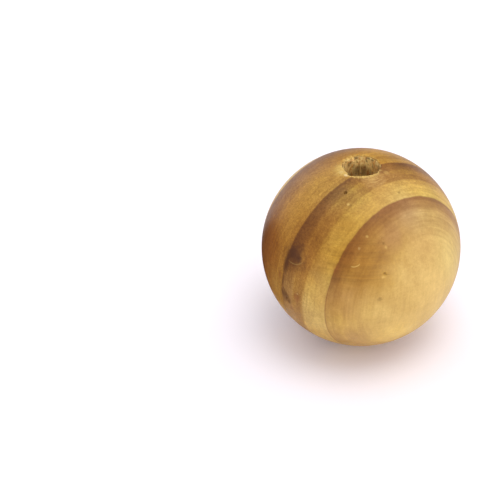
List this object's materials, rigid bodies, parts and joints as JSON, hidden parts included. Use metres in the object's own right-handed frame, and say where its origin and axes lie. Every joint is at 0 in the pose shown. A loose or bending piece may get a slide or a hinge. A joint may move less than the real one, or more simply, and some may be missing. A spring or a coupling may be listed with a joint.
{
  "type": "wooden bead",
  "caption": "Large round wooden bead with a bore drilled right through along the grain and narrow flat lands round torn mouths.",
  "frame": {"origin": "centre of the ball, on the axis of the bore", "axes": "+Z along the bore, which stands upright; +Y away from the viewer of the picture, so -Y faces the camera's side"},
  "size_m": [0.03, 0.03, 0.0294],
  "materials": {
    "wood": "satin"
  },
  "bodies": {
    "root": {"bead": "wood"}
  },
  "joints": []
}
